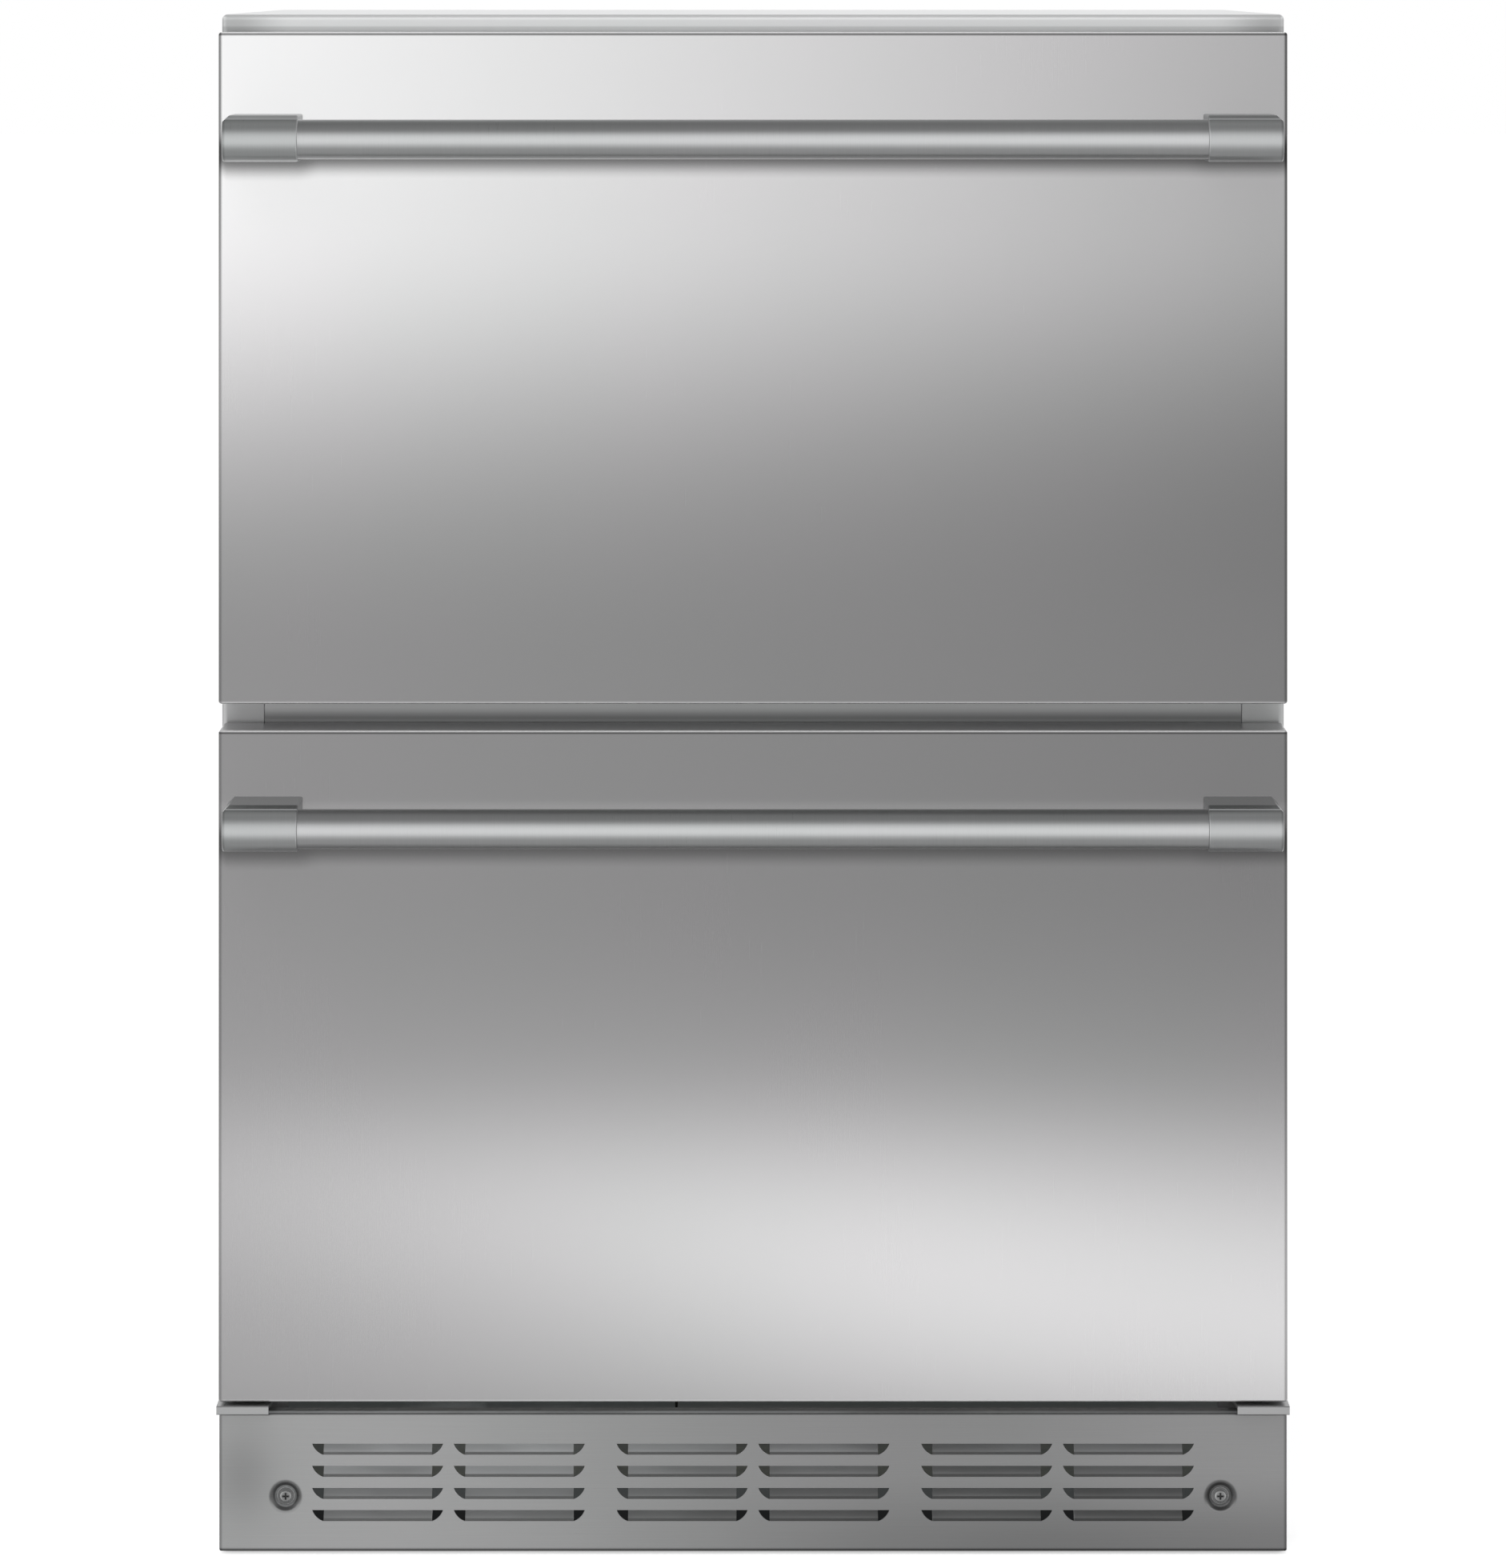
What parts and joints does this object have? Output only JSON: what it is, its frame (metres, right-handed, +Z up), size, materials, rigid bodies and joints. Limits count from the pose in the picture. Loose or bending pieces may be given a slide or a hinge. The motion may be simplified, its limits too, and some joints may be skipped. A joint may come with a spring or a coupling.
{
  "type": "undercounter drawer refrigerator",
  "caption": "Undercounter refrigerator with stacked pull-out drawers, bar handles, louvred toe-kick grille and a rear machine compartment.",
  "frame": {"origin": "on the floor, midway across the width and midway between the handles' front and the rear panel's beads", "axes": "+Z is up, -Y is the front with the drawer handles, +X is to the right of someone facing the drawers"},
  "size_m": [0.606, 0.6654, 0.87],
  "materials": {
    "cabinet_satin_steel": "satin",
    "galvanised_steel": "satin",
    "insulation_foam": "matte",
    "liner_white": "gloss",
    "drawer_liner_white": "gloss",
    "bin_plastic": "satin",
    "divider_plastic": "satin",
    "brushed_stainless": "brushed",
    "kick_stainless": "brushed",
    "bracket_steel": "satin",
    "handle_stainless": "brushed",
    "screw_steel": "satin",
    "gasket_rubber": "matte",
    "slide_zinc": "zinc plated",
    "compressor_black": "satin",
    "mount_rubber": "matte",
    "coil_aluminium": "satin",
    "shroud_black": "matte",
    "fan_black": "matte",
    "motor_steel": "satin",
    "copper": "satin",
    "tray_plastic": "matte",
    "cord_black": "matte",
    "console_plastic": "gloss",
    "button_plastic": "satin",
    "light_lens": "frosted",
    "leg_steel": "zinc plated"
  },
  "bodies": {
    "cabinet": {"cabinet_shell": "cabinet_satin_steel", "center_mullion": "cabinet_satin_steel", "rear_panel": "galvanised_steel", "base_pan": "galvanised_steel", "rear_cover": "galvanised_steel", "grille_brackets": "galvanised_steel", "control_box": "galvanised_steel", "insulation_foam": "insulation_foam", "inner_liner": "liner_white", "evaporator_cover": "liner_white", "toe_kick_grille": "kick_stainless", "corner_brackets": "bracket_steel", "grille_screws": "screw_steel", "upper_outer_rails": "slide_zinc", "lower_outer_rails": "slide_zinc", "compressor": "compressor_black", "compressor_mounts": "mount_rubber", "condenser_coil": "coil_aluminium", "evaporator_coil": "coil_aluminium", "fan_shroud": "shroud_black", "condenser_fan_motor": "motor_steel", "evaporator_fan_motor": "motor_steel", "refrigerant_tubing": "copper", "filter_drier": "copper", "drain_pan": "tray_plastic", "power_cord": "cord_black", "control_panel": "console_plastic", "led_light": "light_lens"},
    "upper_drawer": {"upper_drawer_front": "brushed_stainless", "upper_drawer_foam": "insulation_foam", "upper_drawer_liner": "drawer_liner_white", "upper_gasket": "gasket_rubber", "upper_handle_bar": "handle_stainless", "upper_handle_posts": "handle_stainless", "upper_handle_screws": "screw_steel", "upper_drawer_bin": "bin_plastic", "upper_inner_rails": "slide_zinc"},
    "upper_slide_middle": {"upper_middle_rails": "slide_zinc"},
    "upper_divider_plate": {"upper_divider": "divider_plastic"},
    "lower_drawer": {"lower_drawer_front": "brushed_stainless", "lower_drawer_foam": "insulation_foam", "lower_drawer_liner": "drawer_liner_white", "lower_gasket": "gasket_rubber", "lower_handle_bar": "handle_stainless", "lower_handle_posts": "handle_stainless", "lower_handle_screws": "screw_steel", "lower_drawer_bin": "bin_plastic", "lower_inner_rails": "slide_zinc"},
    "lower_slide_middle": {"lower_middle_rails": "slide_zinc"},
    "lower_divider_plate": {"lower_divider": "divider_plastic"},
    "condenser_fan": {"condenser_fan_blade": "fan_black"},
    "evaporator_fan": {"evaporator_fan_blade": "fan_black"},
    "button_left_cap": {"button_left": "button_plastic"},
    "button_middle_cap": {"button_middle": "button_plastic"},
    "button_right_cap": {"button_right": "button_plastic"},
    "leg_front_left": {"levelling_leg_front_left": "leg_steel"},
    "leg_front_right": {"levelling_leg_front_right": "leg_steel"},
    "leg_rear_left": {"levelling_leg_rear_left": "leg_steel"},
    "leg_rear_right": {"levelling_leg_rear_right": "leg_steel"}
  },
  "joints": [
    {"name": "upper_drawer_slide", "type": "slide", "parent": "cabinet", "child": "upper_drawer", "axis": [0, -1, 0], "range_m": [0, 0.42]},
    {"name": "upper_middle_slide", "type": "slide", "parent": "cabinet", "child": "upper_slide_middle", "axis": [0, -1, 0], "range_m": [0, 0.21]},
    {"name": "upper_divider_slide", "type": "slide", "parent": "upper_drawer", "child": "upper_divider_plate", "axis": [0, 1, 0], "range_m": [-0.18, 0.18]},
    {"name": "lower_drawer_slide", "type": "slide", "parent": "cabinet", "child": "lower_drawer", "axis": [0, -1, 0], "range_m": [0, 0.42]},
    {"name": "lower_middle_slide", "type": "slide", "parent": "cabinet", "child": "lower_slide_middle", "axis": [0, -1, 0], "range_m": [0, 0.21]},
    {"name": "lower_divider_slide", "type": "slide", "parent": "lower_drawer", "child": "lower_divider_plate", "axis": [0, 1, 0], "range_m": [-0.18, 0.18]},
    {"name": "condenser_fan_spin", "type": "hinge", "parent": "cabinet", "child": "condenser_fan", "pos_m": [-0.165, 0.165, 0.112], "axis": [0, 1, 0], "continuous": true},
    {"name": "evaporator_fan_spin", "type": "hinge", "parent": "cabinet", "child": "evaporator_fan", "pos_m": [0, 0.236, 0.752], "axis": [0, 1, 0], "continuous": true},
    {"name": "button_left_press", "type": "slide", "parent": "cabinet", "child": "button_left_cap", "axis": [0, 1, 0], "range_m": [0, 0.0015], "stiffness_N_per_m": 600},
    {"name": "button_middle_press", "type": "slide", "parent": "cabinet", "child": "button_middle_cap", "axis": [0, 1, 0], "range_m": [0, 0.0015], "stiffness_N_per_m": 600},
    {"name": "button_right_press", "type": "slide", "parent": "cabinet", "child": "button_right_cap", "axis": [0, 1, 0], "range_m": [0, 0.0015], "stiffness_N_per_m": 600},
    {"name": "leg_front_left_turn", "type": "hinge", "parent": "cabinet", "child": "leg_front_left", "pos_m": [-0.268, -0.188, 0], "axis": [0, 0, 1], "continuous": true},
    {"name": "leg_front_right_turn", "type": "hinge", "parent": "cabinet", "child": "leg_front_right", "pos_m": [0.268, -0.188, 0], "axis": [0, 0, 1], "continuous": true},
    {"name": "leg_rear_left_turn", "type": "hinge", "parent": "cabinet", "child": "leg_rear_left", "pos_m": [-0.268, 0.292, 0], "axis": [0, 0, 1], "continuous": true},
    {"name": "leg_rear_right_turn", "type": "hinge", "parent": "cabinet", "child": "leg_rear_right", "pos_m": [0.268, 0.292, 0], "axis": [0, 0, 1], "continuous": true}
  ],
  "couplings": [
    {"joint": "upper_middle_slide", "follows": "upper_drawer_slide", "ratio": 0.5},
    {"joint": "lower_middle_slide", "follows": "lower_drawer_slide", "ratio": 0.5}
  ]
}
